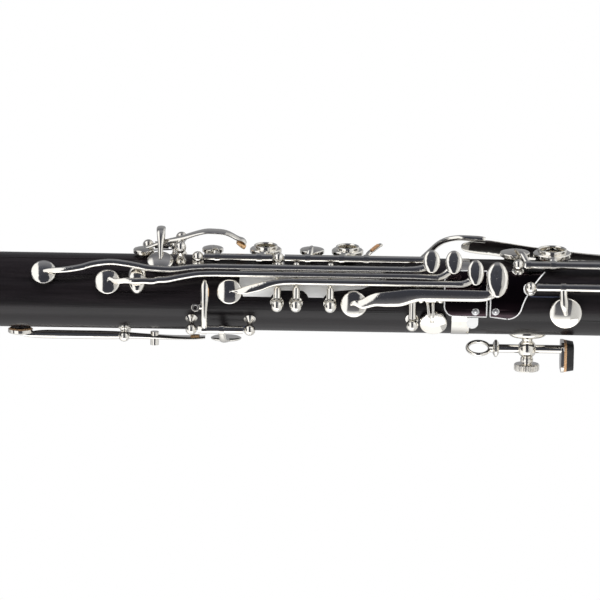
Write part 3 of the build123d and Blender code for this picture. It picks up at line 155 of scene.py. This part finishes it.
# ---- materials ----------------------------------------------------------------------------------------------
def grenadilla():
    """Nearly black wood: long fine grain up the body, open pores and an oiled satin surface."""
    s = Shader("grenadilla")
    streaks = s.noise(s.scaled(1, 1, 0.05), 420, detail=6, roughness=0.62)
    broad = s.noise(s.scaled(1, 1, 0.12), 70, detail=3)
    pores = s.voronoi(s.scaled(1, 1, 0.055), 1500)
    tone = s.ramp(streaks, (0.36, (0.0045, 0.0037, 0.0046)), (0.66, (0.0115, 0.0095, 0.0112)))
    warm = s.ramp(broad, (0.35, (0.0, 0.0, 0.0)), (0.75, (0.0055, 0.0032, 0.0036)))
    s.colour(s.mix(1.0, tone, warm, "ADD"))
    s.roughness(streaks, 0.25, 0.37)
    s.bump(pores, 0.00003, 0.35)
    s.bump(streaks, 0.00004, 0.5)
    s.set(Specular_IOR_Level=0.30, Coat_Weight=0.03, Coat_Roughness=0.2)
    return s.material


def silver(name, tint=(0.90, 0.875, 0.82), rough=(0.045, 0.12), scratch=0.25):
    """Silver plate: a bright mirror with faint handling marks and a little warm tarnish."""
    s = Shader(name)
    cloud = s.noise(s.coords, 55, detail=5, roughness=0.6)
    tarnish = s.noise(s.coords, 190, detail=3)
    fine = s.noise(s.scaled(1, 1, 0.15), 2600, detail=2)
    dull = tuple(c * f for c, f in zip(tint, (0.86, 0.80, 0.72)))
    s.colour(s.mix(s.ramp(tarnish, (0.52, 0.0), (0.86, 0.75)), tint, dull))
    s.roughness(cloud, *rough)
    s.bump(fine, 0.000006, scratch)
    s.set(Metallic=1.0)
    return s.material


def satin(name):
    """Frosted silver plate, which stays pale from every side."""
    s = Shader(name)
    frost = s.noise(s.coords, 3600, detail=3)
    cloud = s.noise(s.coords, 90, detail=4)
    s.colour(s.ramp(cloud, (0.3, (0.90, 0.90, 0.90)), (0.75, (0.96, 0.96, 0.95))))
    s.roughness(cloud, 0.4, 0.55)
    s.bump(frost, 0.00001, 0.5)
    s.set(Metallic=0.1)
    return s.material


def painted_reflection_plate(name):
    """Polished plate whose base colour is a painted reflection: near-black for the dark room, with a painted red
    cast reflected from the wood.
    """
    s = Shader(name)
    cloud = s.noise(s.coords, 75, detail=4, roughness=0.6)
    fine = s.noise(s.scaled(1, 1, 0.2), 2400, detail=2)
    # painted reflection: near-black base colour with a red cast, standing for the dark room and the wood seen in
    # the plate
    s.colour(s.ramp(cloud, (0.32, (0.026, 0.022, 0.026)), (0.74, (0.060, 0.034, 0.040))))
    s.roughness(cloud, 0.05, 0.12)
    s.bump(fine, 0.000004, 0.2)
    s.set(Metallic=1.0)
    return s.material


def thumb_cushion():
    """The thumb hook's pad: a tan layer of cork next to the metal and black rubber over it."""
    s = Shader("thumb_pad")
    grains = s.voronoi(s.coords, 900)
    grain = s.noise(s.coords, 3200, detail=4, roughness=0.7)
    corky = s.ramp(grains, (0.05, (0.58, 0.30, 0.13)), (0.6, (0.74, 0.46, 0.25)))
    black = s.ramp(grain, (0.3, (0.012, 0.012, 0.013)), (0.7, (0.028, 0.027, 0.028)))
    split = s.tree.nodes.new("ShaderNodeSeparateXYZ")
    s.link(s.coords, split.inputs["Vector"])
    layer = s.tree.nodes.new("ShaderNodeMath")
    layer.operation = "GREATER_THAN"
    layer.inputs[1].default_value = CUSHION_SPLIT
    s.link(split.outputs["Z"], layer.inputs[0])
    s.colour(s.mix(layer.outputs["Value"], black, corky))
    s.roughness(grain, 0.5, 0.72)
    s.bump(grain, 0.00004, 0.6)
    return s.material


def steel(name, tint, rough):
    """Turned steel with rings of fine tool marks."""
    s = Shader(name)
    marks = s.noise(s.scaled(1, 1, 6), 1800, detail=2)
    s.colour(s.ramp(marks, (0.3, tuple(c * 0.86 for c in tint)), (0.7, tint)))
    s.roughness(marks, rough - 0.05, rough + 0.06)
    s.bump(marks, 0.00001, 0.4)
    s.set(Metallic=1.0)
    return s.material


def cork(name, light, deep):
    """Agglomerated cork: tan grains with darker pits."""
    s = Shader(name)
    grains = s.voronoi(s.coords, 900)
    pits = s.noise(s.coords, 1400, detail=4)
    base = s.ramp(grains, (0.05, deep), (0.6, light))
    s.colour(s.mix(s.ramp(pits, (0.56, 0.0), (0.68, 1.0)), base, tuple(c * 0.3 for c in deep)))
    s.roughness(pits, 0.72, 0.9)
    s.bump(grains, 0.0001, 0.5)
    return s.material


def leather_pad():
    """Bladder skin drawn over felt: cream, slightly shiny, with fine creases."""
    s = Shader("bladder_pad")
    creases = s.noise(s.coords, 700, detail=6, roughness=0.7)
    s.colour(s.ramp(creases, (0.3, (0.66, 0.57, 0.42)), (0.7, (0.84, 0.77, 0.63))))
    s.roughness(creases, 0.38, 0.55)
    s.bump(creases, 0.00006, 0.5)
    s.set(Subsurface_Weight=0.08)
    return s.material


def ebonite():
    """Polished hard rubber, with the faintest brown cast and hairline scratches."""
    s = Shader("ebonite")
    marks = s.noise(s.scaled(1, 0.12, 0.3), 2100, detail=3)
    cloud = s.noise(s.coords, 60, detail=3)
    s.colour(s.ramp(cloud, (0.3, (0.006, 0.0056, 0.0054)), (0.75, (0.013, 0.0115, 0.0105))))
    s.roughness(cloud, 0.07, 0.16)
    s.bump(marks, 0.000008, 0.3)
    s.set(Specular_IOR_Level=0.6)
    return s.material


def rubber(name, colour=(0.018, 0.018, 0.019)):
    s = Shader(name)
    grain = s.noise(s.coords, 3200, detail=4, roughness=0.7)
    s.colour(s.ramp(grain, (0.3, tuple(c * 0.7 for c in colour)), (0.7, tuple(c * 1.5 for c in colour))))
    s.roughness(grain, 0.55, 0.75)
    s.bump(grain, 0.00004, 0.6)
    return s.material


def cane(axis):
    """Reed cane: golden, with fibres that run along it."""
    s = Shader("cane")
    mapping = s.tree.nodes.new("ShaderNodeMapping")
    mapping.vector_type = "POINT"
    mapping.inputs["Rotation"].default_value = (math.atan2(axis.y, axis.z), 0, 0)
    mapping.inputs["Scale"].default_value = (1, 1, 0.03)
    s.link(s.coords, mapping.inputs["Vector"])
    fibres = s.noise(mapping.outputs["Vector"], 2600, detail=4, roughness=0.65)
    s.colour(s.ramp(fibres, (0.32, (0.56, 0.38, 0.15)), (0.7, (0.83, 0.66, 0.37))))
    s.roughness(fibres, 0.45, 0.62)
    s.bump(fibres, 0.00003, 0.5)
    s.set(Subsurface_Weight=0.06)
    return s.material


CUSHION_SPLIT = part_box("thumb_rest_cork")[1][2] - 0.0013  # cork above, rubber below
MATERIALS = {
    "grenadilla": grenadilla(),
    "silver_plate": silver("silver_plate"),
    "plated_brass": silver("plated_brass", tint=(0.90, 0.885, 0.86), rough=(0.06, 0.17)),
    "steel_rod": steel("steel_rod", (0.62, 0.62, 0.63), 0.24),
    "blued_steel": steel("blued_steel", (0.07, 0.08, 0.13), 0.3),
    "cork": cork("cork", (0.90, 0.58, 0.31), (0.70, 0.38, 0.17)),
    "bladder_pad": leather_pad(),
    "ebonite": ebonite(),
    "cane": cane(Vector((0, math.sin(math.radians(72)), math.cos(math.radians(72))))),
    "thumb_pad": thumb_cushion(),
    "rubber_tip": rubber("rubber_tip"),
}
# guide plate faces: a painted dark reflection in the base colour
GUIDE_PAINTED_REFLECTION = painted_reflection_plate("guide_plate_painted_reflection")
SATIN = satin("satin_silver")
# a darker brown cork colour, used for the strip on the fin
DARK_BROWN_CORK = cork("dark_brown_cork", (0.36, 0.20, 0.10), (0.20, 0.11, 0.06))
SMOOTH_ANGLE = math.radians(32)
WELD_DISTANCE = 0.000004
WOOD_BEVEL, METAL_BEVEL, PLATE_BEVEL = 0.25, 0.12, 0.3  # millimetres
JOINT_SIDE_Z = 0.64  # the saddle plate lies above this height, the guide plates below
LOBE_EDGE = -10.95  # past this, across the plates' face in millimetres, comes the small lobe


def dress(node, material, bevel_mm):
    """Gives a CAD node its material, smooth shading and softened edges."""
    o = nodes[node]
    o.data.materials.clear()
    o.data.materials.append(material)
    for polygon in o.data.polygons:
        polygon.use_smooth = True
        polygon.material_index = 0
    weld = o.modifiers.new("weld", "WELD")
    weld.merge_threshold = WELD_DISTANCE
    bevel = o.modifiers.new("soft_edges", "BEVEL")
    bevel.width = bevel_mm * MM
    bevel.segments = 2
    bevel.limit_method = "ANGLE"
    bevel.angle_limit = SMOOTH_ANGLE
    bevel.harden_normals = False
    bevel.use_clamp_overlap = True
    o.modifiers.new("normals", "WEIGHTED_NORMAL").keep_sharp = False


def dress_plates():
    """The guide plates' outer faces get a painted dark reflection, with bright edges; the saddle and the small
    lobe are frosted.
    """
    dress("body_plates", GUIDE_PAINTED_REFLECTION, PLATE_BEVEL)
    o = nodes["body_plates"]
    o.data.materials.append(SATIN)
    o.modifiers["soft_edges"].material = 1
    place = o.matrix_world
    turn = place.to_3x3()
    for polygon in o.data.polygons:
        centre = place @ polygon.center
        normal = turn @ polygon.normal
        across = centre.dot(sideways(FACE_ANGLE)) / MM
        face_on = normal.dot(Vector((centre.x, centre.y, 0)).normalized())
        # outward faces below the saddle keep the painted dark reflection; sides, saddle and lobe turn frosted
        # silver
        if centre.z > JOINT_SIDE_Z or across < LOBE_EDGE or face_on < 0.9:
            polygon.material_index = 1


slots = {entry["node"]: entry["material_slot"] for entry in frame["record"]["subparts"]}
for node, slot in slots.items():
    if node != "body_plates":
        dress(node, MATERIALS[slot], WOOD_BEVEL if slot == "grenadilla" else METAL_BEVEL)
dress_plates()


# ---- small pieces ---------------------------------------------------------------------------------------------
# Millimetres throughout. Hinges are given as the CAD has them: angle and height over the axis, then z.
THUMB_LINK_Z = 738.9
FIN_Z = 657.0
POST_REACH = 2.22  # from a post's centre to its screw's face
HEAD_RADIUS, HEAD_HEIGHT, HEAD_SLOT = 1.15, 0.42, 0.34
PLATE_TOP_R = 19.55
TRIM_HALF_WIDTH, TRIM_RISE, TRIM_SINK = 0.34, 0.24, 0.06
TRIM_MIN_STEP, TRIM_MIN_SPAN = 0.00045, 0.03  # metres


def finish_piece(bm, name, body, material, sharp=38.0):
    """Turns a bmesh into an object that rides with its body."""
    bmesh.ops.recalc_face_normals(bm, faces=bm.faces)
    mesh = bpy.data.meshes.new(name)
    bm.to_mesh(mesh)
    bm.free()
    for polygon in mesh.polygons:
        polygon.use_smooth = True
    mesh.set_sharp_from_angle(angle=math.radians(sharp))
    mesh.materials.append(material)
    o = bpy.data.objects.new(name, mesh)
    bpy.context.scene.collection.objects.link(o)
    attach(o, body)
    return o


def join_rings(bm, rings, closed=False):
    """Skins rings of vertices; open skins get a cap at each end."""
    count = len(rings[0])
    pairs = list(zip(rings, rings[1:]))
    if closed:
        pairs.append((rings[-1], rings[0]))
    for a, b in pairs:
        for i in range(count):
            j = (i + 1) % count
            bm.faces.new((a[i], a[j], b[j], b[i]))
    if not closed:
        bm.faces.new(rings[0])
        bm.faces.new(reversed(rings[-1]))


def block_ring(bm, centre, wide, thick, across, out, squareness=0.45):
    """A section with rounded corners."""
    ring = []
    for i in range(20):
        angle = 2 * math.pi * i / 20
        x = math.copysign(abs(math.cos(angle)) ** squareness, math.cos(angle)) * wide / 2
        y = math.copysign(abs(math.sin(angle)) ** squareness, math.sin(angle)) * thick / 2
        ring.append(bm.verts.new(centre + (across * x + out * y) * MM))
    return ring


def strip(bm, stations, across):
    """A cork strip through stations (point, width, thickness) with soft ends."""
    points = [station[0] for station in stations]
    rings = []
    for i, (point, wide, thick) in enumerate(stations):
        along = (points[min(i + 1, len(points) - 1)] - points[max(i - 1, 0)]).normalized()
        side = (across - along * across.dot(along)).normalized()
        out = along.cross(side)
        ends = [(1, 1)]
        if i == 0:
            ends = [(0.82, -0.25), (0.96, -0.08), (1, 0.1)]
        if i == len(stations) - 1:
            ends = [(1, -0.1), (0.96, 0.08), (0.82, 0.25)]
        for size, shift in ends:
            offset = along * shift * MM if len(ends) > 1 else Vector()
            rings.append(block_ring(bm, point + offset, wide * size, thick * size, side, out))
    join_rings(bm, rings)


def slotted_head(bm, place, axis, radius, height, slot):
    """A low screw head cut by a slot: a floor with two raised halves."""
    axis = axis.normalized()
    side = axis.orthogonal().normalized()
    other = axis.cross(side)
    rings = []
    for level in (0.0, height * 0.45):
        ring = []
        for i in range(28):
            angle = 2 * math.pi * i / 28
            spot = side * math.cos(angle) * radius + other * math.sin(angle) * radius + axis * level
            ring.append(bm.verts.new(place + spot * MM))
        rings.append(ring)
    join_rings(bm, rings)
    for sign in (1, -1):
        start = math.asin(slot / 2 / radius)
        rings = []
        for level, size in ((height * 0.4, 1.0), (height * 0.8, 1.0), (height, 0.86)):
            ring = []
            for i in range(15):
                angle = start + (math.pi - 2 * start) * i / 14
                x, y = math.cos(angle) * radius * size, math.sin(angle) * radius * size
                y = max(y, slot / 2)
                ring.append(bm.verts.new(place + (side * x + other * y * sign + axis * level) * MM))
            rings.append(ring)
        join_rings(bm, rings)


def corks():
    """Thin corks glued to the keys where they meet the body or each other."""
    bm = bmesh.new()
    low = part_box("throat_a_key")[0][2] / MM
    strip(
        bm,
        [(facing(85, 0, h, low + rise), wide, thick) for rise, h, wide, thick in (
            (0.9, 23.5, 4.6, 2.0), (2.2, 24.3, 4.9, 2.2), (3.6, 25.3, 5.0, 1.9), (4.6, 26.0, 4.8, 1.5),
        )],
        sideways(85),
    )
    finish_piece(bm, "throat_a_tip", "throat_a_key", MATERIALS["cork"])
    bm = bmesh.new()
    z = THUMB_LINK_Z - 1.3
    strip(bm, [(polar(theta, r, z), 1.5, 1.5) for theta, r in ((6, 24.7), (9, 24.5), (12, 24.2), (15, 23.9))], UP)
    finish_piece(bm, "thumb_link_cork", "thumb_key", MATERIALS["cork"])
    bm = bmesh.new()
    fin = ((72, 24.9, 0.2), (77, 25.4, -1.4), (82, 25.9, -3.1))
    strip(bm, [(polar(theta, r, FIN_Z + rise), 2.0, 0.8) for theta, r, rise in fin], UP)
    finish_piece(bm, "fin_cork", "lh_key_2", DARK_BROWN_CORK)
    bm = bmesh.new()
    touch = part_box("register_key")[0][2] / MM
    strip(bm, [(facing(-90, 0, 21.95, touch + rise), 4.2, 0.7) for rise in (3.0, 5.0, 7.0)], sideways(-90))
    finish_piece(bm, "register_touch_cork", "register_key", MATERIALS["cork"])


def post_screws():
    """Slotted ends of the pivot screws, on the outer side of their posts."""
    bm = bmesh.new()
    heads = []
    for z in (703.4, 694.1, 677.3):
        heads.append((facing(30, -13.8 - 2.5, 20.9, z), -sideways(30)))
    heads.append((facing(0, -10.9 - 2.45, 21.0, 636.9), -sideways(0)))
    for theta, h, z in ((-90, 20.9, 778.6), (85, 25.4, 751.2), (142, 24.2, 502.0)):
        for sign in (1, -1):
            heads.append((facing(theta, sign * (9.2 + POST_REACH), h, z), sideways(theta) * sign))
    axial = (
        ((62, 22.2), 742.7, 628.0),
        ((-34, 25.9), 745.3, 716.6),
        ((122, 24.6), 767.8, 754.4),
        ((150, 23.4), 648.4, 626.4),
        ((53, 23.5), 585.2, 458.7),
        ((22.5, 24.0), 579.2, 521.6),
        ((35, 24.0), 455.4, 362.6),
        ((128, 24.5), 405.4, 288.6),
    )
    for (theta, r), high, low in axial:
        heads.append((polar(theta, r, high + POST_REACH), UP))
        heads.append((polar(theta, r, low - POST_REACH), -UP))
    for place, axis in heads:
        slotted_head(bm, place, axis, HEAD_RADIUS, HEAD_HEIGHT, HEAD_SLOT)
    finish_piece(bm, "post_screw_heads", "instrument", MATERIALS["steel_rod"])


def plate_trim():
    """A bright bead along the outer edges of both guide plates."""
    plates = nodes["body_plates"]
    source = bmesh.new()
    source.from_mesh(plates.data)
    bmesh.ops.remove_doubles(source, verts=source.verts, dist=WELD_DISTANCE)
    place = plates.matrix_world
    linked = {}
    for edge in source.edges:
        if len(edge.link_faces) != 2 or edge.calc_face_angle(0) < 0.9:
            continue
        a, b = (place @ v.co for v in edge.verts)
        middle = (a + b) / 2
        radius = Vector((middle.x, middle.y)).length / MM
        across = middle.dot(sideways(FACE_ANGLE)) / MM
        if middle.z > JOINT_SIDE_Z or radius < PLATE_TOP_R or across < LOBE_EDGE:
            continue
        one, two = (v.index for v in edge.verts)
        linked.setdefault(one, []).append(two)
        linked.setdefault(two, []).append(one)
    spots = {v.index: place @ v.co for v in source.verts}
    source.free()
    bm = bmesh.new()
    seen = set()
    for start in sorted(linked):
        if start in seen:
            continue
        chain = [start]
        seen.add(start)
        for end in (-1, 0):
            onward = [n for n in linked[chain[end]] if n not in seen]
            while onward:
                chain.insert(len(chain) if end else 0, onward[0])
                seen.add(onward[0])
                onward = [n for n in linked[chain[end]] if n not in seen]
        points = [spots[chain[0]]]
        for index in chain[1:]:
            if (spots[index] - points[-1]).length > TRIM_MIN_STEP:
                points.append(spots[index])
        span = sum((b - a).length for a, b in zip(points, points[1:]))
        if span < TRIM_MIN_SPAN or len(points) < 8:
            continue
        closed = chain[0] in linked[chain[-1]]
        count = len(points)
        rings = []
        for i, point in enumerate(points):
            before = points[(i - 1) % count] if closed else points[max(i - 1, 0)]
            after = points[(i + 1) % count] if closed else points[min(i + 1, count - 1)]
            along = (after - before).normalized()
            radial = Vector((point.x, point.y, 0)).normalized()
            out = (radial - along * radial.dot(along)).normalized()
            side = along.cross(out)
            ring = []
            for k in range(8):
                angle = 2 * math.pi * k / 8
                width, rise = math.cos(angle) * TRIM_HALF_WIDTH, math.sin(angle) * TRIM_RISE - TRIM_SINK
                offset = side * width + out * rise
                ring.append(bm.verts.new(point + offset * MM))
            rings.append(ring)
        join_rings(bm, rings, closed)
    finish_piece(bm, "guide_trim", "instrument", SATIN, 60.0)


corks()
post_screws()
plate_trim()


# ---- floor, light and camera ----------------------------------------------------------------------------------
FLOOR_HALF = 2.2


def floor():
    mesh = bpy.data.meshes.new("floor")
    corners = [(x * FLOOR_HALF, y * FLOOR_HALF, 0) for x, y in ((-1, -1), (1, -1), (1, 1), (-1, 1))]
    mesh.from_pydata(corners, [], [(0, 1, 2, 3)])
    o = bpy.data.objects.new("floor", mesh)
    bpy.context.scene.collection.objects.link(o)
    s = Shader("floor")
    cloud = s.noise(s.coords, 3, detail=2)
    s.colour(s.ramp(cloud, (0.2, (0.80, 0.80, 0.79)), (0.8, (0.86, 0.86, 0.85))))
    s.set(Roughness=0.7)
    mesh.materials.append(s.material)


CAMERA_LIFT = FACE_ANGLE  # degrees from the player's right towards the front
CAMERA_ROLL = 0.92
CAMERA_DISTANCE = 2.4
VIEW_WIDTH = 0.2968  # metres across the picture, at the object
VIEW_Z = 0.6921
VIEW_OFFSET = -0.0032
SENSOR = 36


def camera():
    lift, roll = math.radians(CAMERA_LIFT), math.radians(CAMERA_ROLL)
    away = Vector((-math.cos(lift), -math.sin(lift), 0))
    level_up = Vector((math.sin(lift), -math.cos(lift), 0))
    right = -UP * math.cos(roll) + level_up * math.sin(roll)
    up = level_up * math.cos(roll) + UP * math.sin(roll)
    target = UP * VIEW_Z + level_up * VIEW_OFFSET
    data = bpy.data.cameras.new("camera")
    data.sensor_width = SENSOR
    data.lens = SENSOR / (VIEW_WIDTH / CAMERA_DISTANCE)
    data.clip_start, data.clip_end = 0.01, 50
    o = bpy.data.objects.new("camera", data)
    bpy.context.scene.collection.objects.link(o)
    turn = Matrix((right, up, away)).transposed().to_4x4()
    o.matrix_world = Matrix.Translation(target + away * CAMERA_DISTANCE) @ turn
    bpy.context.scene.camera = o
    return away, level_up, target


def area_light(name, place, target, size, power):
    data = bpy.data.lights.new(name, "AREA")
    data.shape = "RECTANGLE"
    data.size, data.size_y = size
    data.energy = power
    o = bpy.data.objects.new(name, data)
    bpy.context.scene.collection.objects.link(o)
    back = (place - target).normalized()
    right = UP.cross(back).normalized()
    o.matrix_world = Matrix.Translation(place) @ Matrix((right, back.cross(right), back)).transposed().to_4x4()
    o.visible_camera = False
    return o


# Brightness of the room round the body's axis, by angle above the camera's direction: the side behind the
# camera is dark, the table and the background are white.
ROOM = (
    (-180, (0.34, 0.34, 0.35)),
    (-138, (0.60, 0.60, 0.60)),
    (-108, (1.15, 1.15, 1.15)),
    (-62, (1.15, 1.15, 1.15)),
    (-51, (1.0, 1.0, 1.0)),
    (-44, (0.16, 0.16, 0.175)),
    (-14, (0.045, 0.047, 0.058)),
    (28, (0.040, 0.043, 0.056)),
    (58, (0.075, 0.080, 0.100)),
    (86, (0.27, 0.275, 0.30)),
    (108, (0.15, 0.155, 0.175)),
    (130, (0.24, 0.245, 0.26)),
    (180, (0.34, 0.34, 0.35)),
)


def room(away, level_up):
    """The world: pure white behind the object, and a soft bright-to-dark room for light and reflections."""
    world = bpy.data.worlds.new("world")
    world.use_nodes = True
    bpy.context.scene.world = world
    tree = world.node_tree
    direction = tree.nodes.new("ShaderNodeTexCoord").outputs["Generated"]

    def along(axis):
        node = tree.nodes.new("ShaderNodeVectorMath")
        node.operation = "DOT_PRODUCT"
        node.inputs[1].default_value = axis
        tree.links.new(direction, node.inputs[0])
        return node.outputs["Value"]

    def ranged(value, low, high):
        node = tree.nodes.new("ShaderNodeMapRange")
        node.interpolation_type = "SMOOTHSTEP"
        node.inputs["From Min"].default_value = low
        node.inputs["From Max"].default_value = high
        tree.links.new(value, node.inputs["Value"])
        return node.outputs["Result"]

    def times(a, b):
        node = tree.nodes.new("ShaderNodeMath")
        node.operation = "MULTIPLY"
        tree.links.new(a, node.inputs[0])
        tree.links.new(b, node.inputs[1])
        return node.outputs["Value"]

    def mixed(factor, a, b):
        node = tree.nodes.new("ShaderNodeMix")
        node.data_type = "RGBA"
        for socket, value in ((node.inputs["Factor"], factor), (node.inputs["A"], a), (node.inputs["B"], b)):
            if isinstance(value, tuple):
                socket.default_value = (*value, 1)
            else:
                tree.links.new(value, socket)
        return node.outputs["Result"]

    angle = tree.nodes.new("ShaderNodeMath")
    angle.operation = "ARCTAN2"
    tree.links.new(along(level_up), angle.inputs[0])
    tree.links.new(along(away), angle.inputs[1])
    turn = tree.nodes.new("ShaderNodeMapRange")
    turn.inputs["From Min"].default_value = -math.pi
    turn.inputs["From Max"].default_value = math.pi
    tree.links.new(angle.outputs["Value"], turn.inputs["Value"])
    ramp = tree.nodes.new("ShaderNodeValToRGB")
    elements = ramp.color_ramp.elements
    while len(elements) < len(ROOM):
        elements.new(0.5)
    for element, (degrees, colour) in zip(elements, ROOM):
        element.position = degrees / 360 + 0.5
        element.color = (*colour, 1)
    tree.links.new(turn.outputs["Result"], ramp.inputs["Fac"])
    front = ranged(along(away), -0.25, 0.05)
    head = times(ranged(along(UP), 0.27, 0.33), ranged(along(-UP), -0.86, -0.76))
    foot = times(ranged(along(-UP), 0.62, 0.70), ranged(along(UP), -0.93, -0.84))
    headed = mixed(times(head, front), ramp.outputs["Color"], (1.15, 1.15, 1.15))
    lit = mixed(times(foot, front), headed, (0.95, 0.95, 0.96))
    path = tree.nodes.new("ShaderNodeLightPath")
    background = tree.nodes["Background"]
    tree.links.new(mixed(path.outputs["Is Camera Ray"], lit, (1.0, 1.0, 1.0)), background.inputs["Color"])
    background.inputs["Strength"].default_value = 1.0


def studio():
    away, level_up, target = camera()
    key = area_light("key", target + level_up * 0.9 + away * 0.75, target, (0.35, 0.9), 11.0)
    key.visible_glossy = False
    area_light("under", target - level_up * 1.1 + away * 0.45, target, (0.6, 1.3), 3.0)
    room(away, level_up)
    bpy.context.scene.view_settings.view_transform = "Standard"


floor()
studio()
